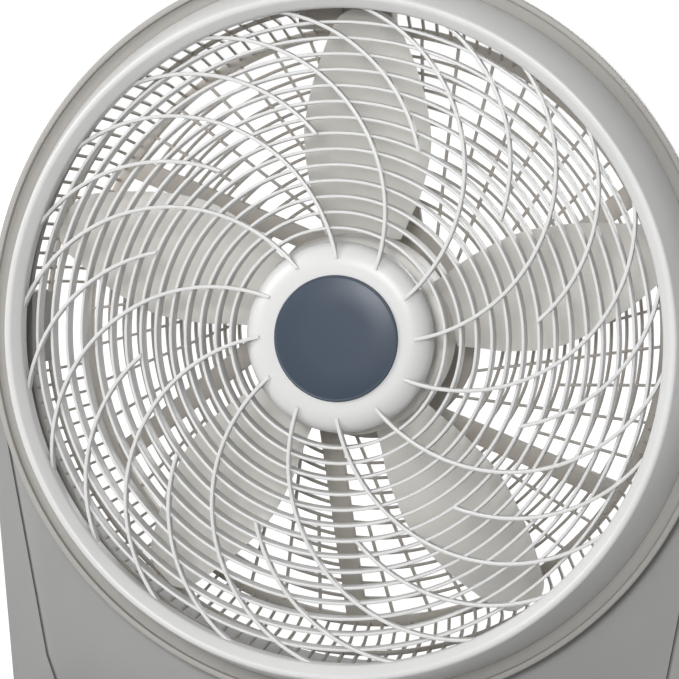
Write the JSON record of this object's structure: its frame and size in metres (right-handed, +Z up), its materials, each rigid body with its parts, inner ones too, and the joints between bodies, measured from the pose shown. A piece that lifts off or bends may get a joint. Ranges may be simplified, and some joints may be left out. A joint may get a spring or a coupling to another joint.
{
  "type": "floor fan",
  "caption": "Floor fan with a round tilting head: swirl-ribbed front grille, bladed rotor, bar-walled rear grille, and a U-shaped stand on feet.",
  "frame": {"origin": "on the floor under the middle of the stand", "axes": "+Z up, +X to the right as seen from the front, the air leaves towards -Y"},
  "size_m": [0.576, 0.166, 0.586],
  "materials": {
    "grille_white": "satin moulded",
    "badge_navy": "smooth gloss",
    "housing_grey": "satin moulded",
    "basket_grey": "satin moulded",
    "blade_beige": "satin moulded",
    "stand_grey": "fine grained",
    "rubber": "matt",
    "steel": "bright zinc",
    "motor_cast": "die cast",
    "laminations": "varnished laminations",
    "bronze": "sintered",
    "black_plastic": "matt",
    "nylon": "natural"
  },
  "bodies": {
    "stand": {"stand_rear_shell": "stand_grey", "stand_front_panel": "stand_grey", "left_foot": "stand_grey", "right_foot": "stand_grey", "foot_pads": "rubber", "panel_screws": "steel", "foot_screws": "steel", "left_pivot_pin": "steel", "right_pivot_pin": "steel", "left_pivot_washer": "nylon", "right_pivot_washer": "nylon", "left_pivot_cap": "stand_grey", "right_pivot_cap": "stand_grey"},
    "head": {"front_grille": "grille_white", "hub_badge": "badge_navy", "housing_ring": "housing_grey", "rear_grille": "basket_grey", "motor_front_shell": "motor_cast", "motor_rear_shell": "motor_cast", "stator": "laminations", "front_bearing": "bronze", "rear_bearing": "bronze", "switch_housing": "basket_grey", "rotary_switch": "black_plastic", "cord_gland": "black_plastic", "carry_handle": "housing_grey", "grille_screws": "steel", "motor_screws": "steel", "basket_screws": "steel", "lid_screws": "steel"},
    "blade": {"fan_blade": "blade_beige", "blade_nut": "black_plastic", "motor_shaft": "steel", "rotor": "laminations"},
    "knob": {"switch_shaft": "steel", "speed_knob": "housing_grey"}
  },
  "joints": [
    {"name": "head_tilt", "type": "hinge", "parent": "stand", "child": "head", "pos_m": [0, 0.006, 0.292], "axis": [-1, 0, 0], "range_deg": [0, 90]},
    {"name": "fan_spin", "type": "hinge", "parent": "head", "child": "blade", "pos_m": [0, 0, 0.292], "axis": [0, 1, 0], "continuous": true},
    {"name": "knob_turn", "type": "hinge", "parent": "head", "child": "knob", "pos_m": [-0.011, 0.034, 0.537], "axis": [0, 1, 0], "range_deg": [0, 135]}
  ]
}
